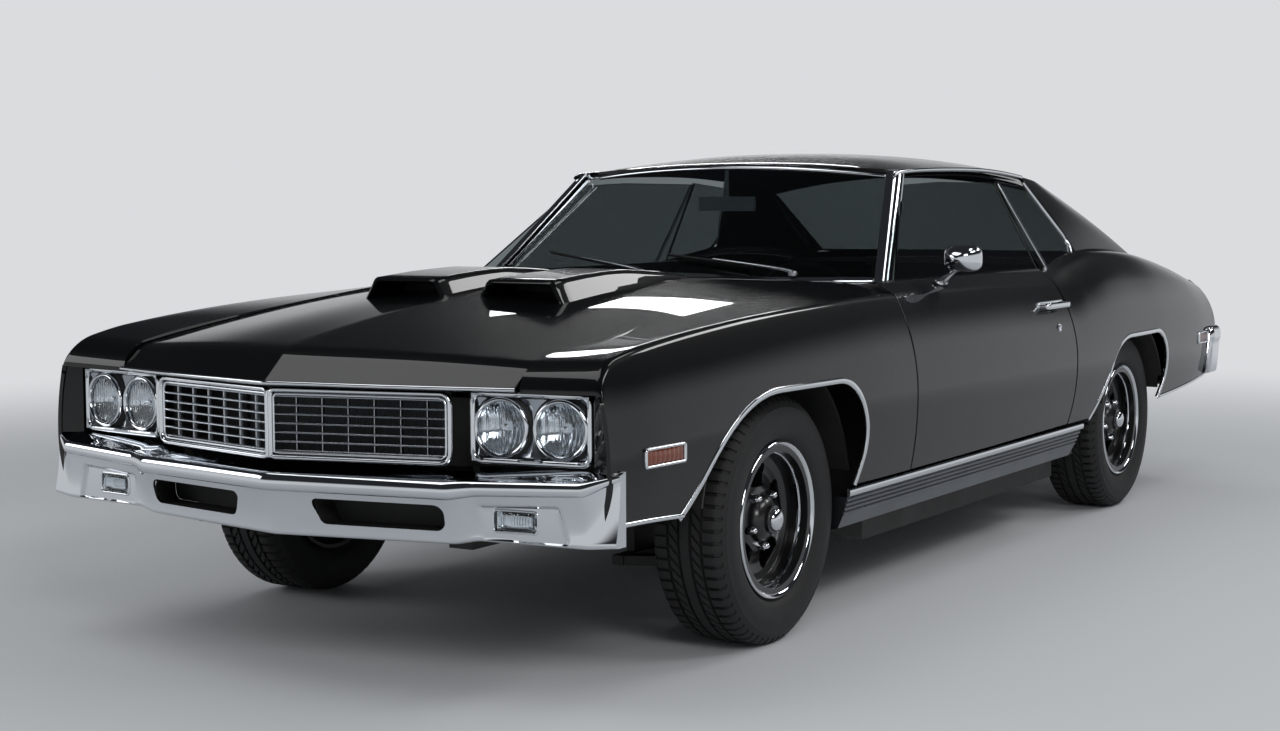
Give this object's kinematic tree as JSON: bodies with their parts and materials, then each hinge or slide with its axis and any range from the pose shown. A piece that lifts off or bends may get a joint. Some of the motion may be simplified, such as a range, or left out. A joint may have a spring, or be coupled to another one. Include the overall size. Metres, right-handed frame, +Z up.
{
  "type": "muscle car",
  "caption": "Two-door hardtop muscle car with a scooped hood, quad round headlamps, bright bumpers, fastback roof and deep steel wheels; doors, lids, steering and wheels move.",
  "frame": {"origin": "on the ground below the middle of the car's bounding box", "axes": "+X forward, +Y to the car's left, +Z up"},
  "size_m": [5.1698, 1.9121, 1.3457],
  "materials": {
    "paint": "gloss",
    "bright": "polished",
    "glass": "clear",
    "lamp_clear": "fluted",
    "lamp_amber": "clear",
    "lamp_red": "clear",
    "rubber": "matte",
    "wheel_paint": "satin",
    "chassis": "satin",
    "iron": "bare",
    "pipe": "bare",
    "trim_dark": "grained",
    "seat": "grained",
    "bezel": "satin",
    "mirror": "polished"
  },
  "bodies": {
    "body": {"front_fenders": "paint", "quarter_panels": "paint", "roof": "paint", "rear_deck": "paint", "firewall": "chassis", "windshield": "glass", "rear_window": "glass", "quarter_windows": "glass", "frame_rails": "chassis", "cross_members": "chassis", "wheelhouses": "chassis", "floor_pan": "chassis", "rockers": "bright", "front_bumper": "bright", "rear_bumper": "bright", "parking_lamps": "lamp_clear", "headlamp_bezels": "bezel", "headlamps": "lamp_clear", "grille": "bright", "radiator_support": "chassis", "side_markers": "lamp_amber", "tail_panel": "paint", "tail_lamps": "lamp_red", "control_arms": "chassis", "rear_axle": "iron", "drivetrain": "iron", "exhaust": "pipe", "fuel_tank": "pipe", "front_seats": "seat", "rear_seat": "seat", "dashboard": "trim_dark", "wipers": "trim_dark", "cabin_mirror": "mirror"},
    "hood": {"hood": "paint"},
    "deck_lid": {"deck_lid": "paint"},
    "steering_wheel": {"steering_wheel": "trim_dark"},
    "door_left": {"door_left": "paint", "door_window_left": "glass", "door_handle_left": "bright", "door_mirror": "bright"},
    "door_right": {"door_right": "paint", "door_window_right": "glass", "door_handle_right": "bright"},
    "knuckle_left": {"knuckle_left": "iron"},
    "knuckle_right": {"knuckle_right": "iron"},
    "wheel_front_left": {"wheel_front_left": "wheel_paint", "tyre_front_left": "rubber"},
    "wheel_front_right": {"wheel_front_right": "wheel_paint", "tyre_front_right": "rubber"},
    "wheel_rear_left": {"wheel_rear_left": "wheel_paint", "tyre_rear_left": "rubber"},
    "wheel_rear_right": {"wheel_rear_right": "wheel_paint", "tyre_rear_right": "rubber"}
  },
  "joints": [
    {"name": "steer_left", "type": "hinge", "parent": "body", "child": "knuckle_left", "pos_m": [1.51, 0.69, 0.334], "axis": [0, 0, 1], "range_deg": [-30, 30]},
    {"name": "steer_right", "type": "hinge", "parent": "body", "child": "knuckle_right", "pos_m": [1.51, -0.69, 0.334], "axis": [0, 0, 1], "range_deg": [-30, 30]},
    {"name": "roll_front_left", "type": "hinge", "parent": "knuckle_left", "child": "wheel_front_left", "pos_m": [1.51, 0.757, 0.334], "axis": [0, 1, 0], "continuous": true},
    {"name": "roll_front_right", "type": "hinge", "parent": "knuckle_right", "child": "wheel_front_right", "pos_m": [1.51, -0.757, 0.334], "axis": [0, 1, 0], "continuous": true},
    {"name": "roll_rear_left", "type": "hinge", "parent": "body", "child": "wheel_rear_left", "pos_m": [-1.335, 0.757, 0.334], "axis": [0, 1, 0], "continuous": true},
    {"name": "roll_rear_right", "type": "hinge", "parent": "body", "child": "wheel_rear_right", "pos_m": [-1.335, -0.757, 0.334], "axis": [0, 1, 0], "continuous": true},
    {"name": "door_left_hinge", "type": "hinge", "parent": "body", "child": "door_left", "pos_m": [0.71, 0.918, 0.585], "axis": [0, 0, -1], "range_deg": [0, 65]},
    {"name": "door_right_hinge", "type": "hinge", "parent": "body", "child": "door_right", "pos_m": [0.71, -0.918, 0.585], "axis": [0, 0, 1], "range_deg": [0, 65]},
    {"name": "hood_hinge", "type": "hinge", "parent": "body", "child": "hood", "pos_m": [0.825, 0, 0.917], "axis": [0, -1, 0], "range_deg": [0, 50]},
    {"name": "deck_lid_hinge", "type": "hinge", "parent": "body", "child": "deck_lid", "pos_m": [-1.918, 0, 0.929], "axis": [0, 1, 0], "range_deg": [0, 70]},
    {"name": "steering_wheel_turn", "type": "hinge", "parent": "body", "child": "steering_wheel", "pos_m": [0.33, 0.37, 0.808], "axis": [-0.8829, 0, 0.4695], "range_deg": [-480, 480]}
  ],
  "couplings": [
    {"joint": "steer_right", "follows": "steer_left", "ratio": 1},
    {"joint": "steering_wheel_turn", "follows": "steer_left", "ratio": 16}
  ]
}
